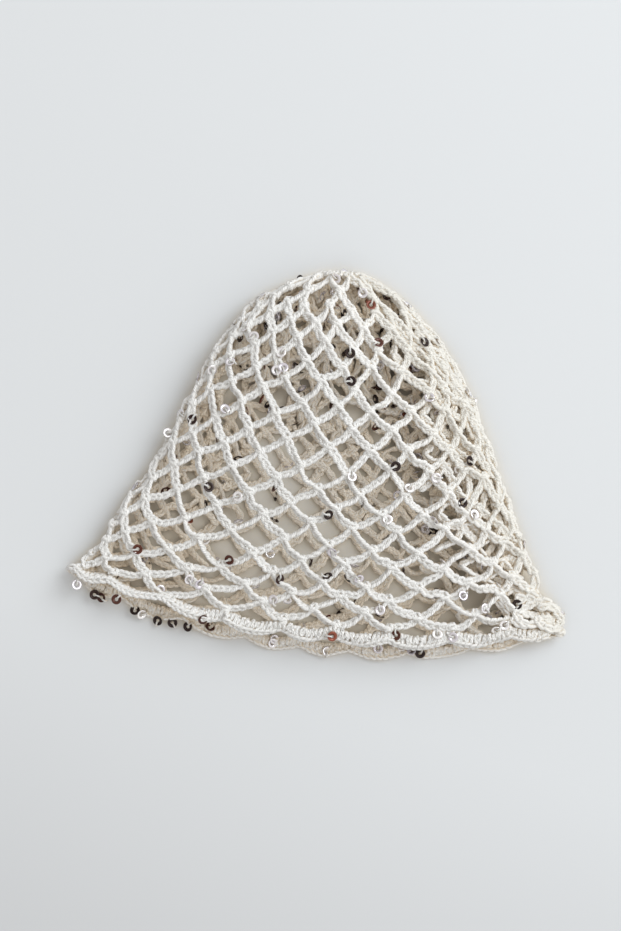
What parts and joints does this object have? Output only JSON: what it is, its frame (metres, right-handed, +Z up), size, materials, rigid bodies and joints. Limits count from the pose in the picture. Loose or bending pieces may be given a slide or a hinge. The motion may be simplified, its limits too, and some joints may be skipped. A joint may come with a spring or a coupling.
{
  "type": "crochet net snood hat",
  "caption": "Openwork crochet hat of chain loops with a wide scalloped rim and small sequins, lying flat with its front layer puffed up.",
  "frame": {"origin": "centre of the hat's box, on the surface it lies on", "axes": "+X across the rim from its left fold to its right fold, +Y towards the crown, +Z up out of the surface, towards the front layer"},
  "size_m": [0.2956, 0.2316, 0.0361],
  "materials": {
    "cotton": "matt off-white mercerised cotton yarn",
    "dark_foil": "dark bronze glossy sequin",
    "clear_foil": "clear iridescent glossy sequin"
  },
  "bodies": {
    "root": {"crown_ring": "cotton", "net_round_01": "cotton", "net_round_02": "cotton", "net_round_03": "cotton", "net_round_04": "cotton", "net_round_05": "cotton", "net_round_06": "cotton", "net_round_07": "cotton", "net_round_08": "cotton", "net_round_09": "cotton", "net_round_10": "cotton", "rim_edging": "cotton", "dark_sequin_01": "dark_foil", "dark_sequin_02": "dark_foil", "dark_sequin_03": "dark_foil", "dark_sequin_04": "dark_foil", "dark_sequin_05": "dark_foil", "dark_sequin_06": "dark_foil", "dark_sequin_07": "dark_foil", "dark_sequin_08": "dark_foil", "dark_sequin_09": "dark_foil", "dark_sequin_10": "dark_foil", "dark_sequin_11": "dark_foil", "dark_sequin_12": "dark_foil", "dark_sequin_13": "dark_foil", "dark_sequin_14": "dark_foil", "dark_sequin_15": "dark_foil", "dark_sequin_16": "dark_foil", "clear_sequin_01": "clear_foil", "clear_sequin_02": "clear_foil", "clear_sequin_03": "clear_foil", "clear_sequin_04": "clear_foil", "clear_sequin_05": "clear_foil", "clear_sequin_06": "clear_foil", "clear_sequin_07": "clear_foil", "clear_sequin_08": "clear_foil", "clear_sequin_09": "clear_foil", "clear_sequin_10": "clear_foil", "clear_sequin_11": "clear_foil", "clear_sequin_12": "clear_foil", "clear_sequin_13": "clear_foil", "clear_sequin_14": "clear_foil", "clear_sequin_15": "clear_foil", "clear_sequin_16": "clear_foil", "clear_sequin_17": "clear_foil", "clear_sequin_18": "clear_foil", "clear_sequin_19": "clear_foil", "clear_sequin_20": "clear_foil", "clear_sequin_21": "clear_foil"}
  },
  "joints": []
}
